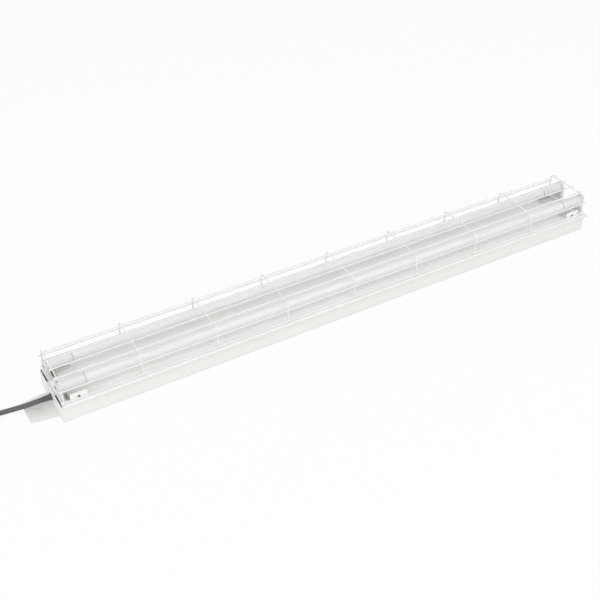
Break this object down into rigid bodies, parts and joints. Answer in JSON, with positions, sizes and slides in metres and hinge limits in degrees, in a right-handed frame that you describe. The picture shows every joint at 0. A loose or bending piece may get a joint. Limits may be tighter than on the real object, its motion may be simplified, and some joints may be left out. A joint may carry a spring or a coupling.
{
  "type": "batten light",
  "caption": "Twin-tube batten light: folded steel body and tray, lamps that turn in end holders, a welded wire guard, a fixing ear and a rubber flex with plug.",
  "frame": {"origin": "middle of the light's base in X and Y, on the back face that it rests on", "axes": "+X along the tubes away from the flex, +Y across the body, +Z out of the lamp side"},
  "size_m": [1.8502, 0.2205, 0.1146],
  "materials": {
    "white_paint": "satin powder coat",
    "white_wire": "satin powder coat on wire",
    "white_plastic": "satin moulded",
    "cap_plastic": "smooth moulded",
    "opal_tube": "smooth opal",
    "board_white": "solder resist",
    "dark_plastic": "moulded",
    "black_rubber": "matt",
    "lead_insulation": "smooth",
    "plated_steel": "zinc plated",
    "brass": "drawn"
  },
  "bodies": {
    "base": {"body_channel": "white_paint", "end_plate_left": "white_paint", "end_plate_right": "white_paint", "gear_tray": "white_paint", "saddle_left": "white_plastic", "saddle_right": "white_plastic", "lampholder_near_left": "white_plastic", "lampholder_near_right": "white_plastic", "lampholder_far_left": "white_plastic", "lampholder_far_right": "white_plastic", "grommet": "black_rubber", "cable_tail": "black_rubber", "cord": "black_rubber", "cord_coil": "black_rubber", "cord_end": "black_rubber", "plug_body": "black_rubber", "clamp_base": "white_plastic", "clamp_bar": "white_plastic", "terminal_block": "white_plastic", "clamp_screws": "plated_steel", "terminal_screws": "brass", "earth_stud": "brass", "earth_nut": "brass", "cores": "lead_insulation", "lamp_leads": "lead_insulation", "earth_lead": "lead_insulation", "coil_tie": "dark_plastic", "plug_pins": "plated_steel"},
    "near_lamp": {"tube_near": "opal_tube", "cap_near_left": "cap_plastic", "cap_near_right": "cap_plastic", "pins_near": "brass", "board_near": "board_white", "rotor_near_left": "dark_plastic", "rotor_near_right": "dark_plastic"},
    "far_lamp": {"tube_far": "opal_tube", "cap_far_left": "cap_plastic", "cap_far_right": "cap_plastic", "pins_far": "brass", "board_far": "board_white", "rotor_far_left": "dark_plastic", "rotor_far_right": "dark_plastic"},
    "guard": {"guard_hoop_1": "white_wire", "guard_hoop_2": "white_wire", "guard_hoop_3": "white_wire", "guard_hoop_4": "white_wire", "guard_hoop_5": "white_wire", "guard_hoop_6": "white_wire", "guard_hoop_7": "white_wire", "guard_hoop_8": "white_wire", "guard_hoop_9": "white_wire", "guard_top_wires": "white_wire", "guard_side_wires_near": "white_wire", "guard_side_wires_far": "white_wire"}
  },
  "joints": [
    {"name": "near_lamp_turn", "type": "hinge", "parent": "base", "child": "near_lamp", "pos_m": [0.0321, -0.04, 0.0806], "axis": [1, 0, 0], "range_deg": [0, 90]},
    {"name": "far_lamp_turn", "type": "hinge", "parent": "base", "child": "far_lamp", "pos_m": [0.0321, 0.04, 0.0806], "axis": [1, 0, 0], "range_deg": [0, 90]},
    {"name": "guard_lift", "type": "slide", "parent": "base", "child": "guard", "axis": [0, 0, 1], "range_m": [0, 0.12]}
  ]
}
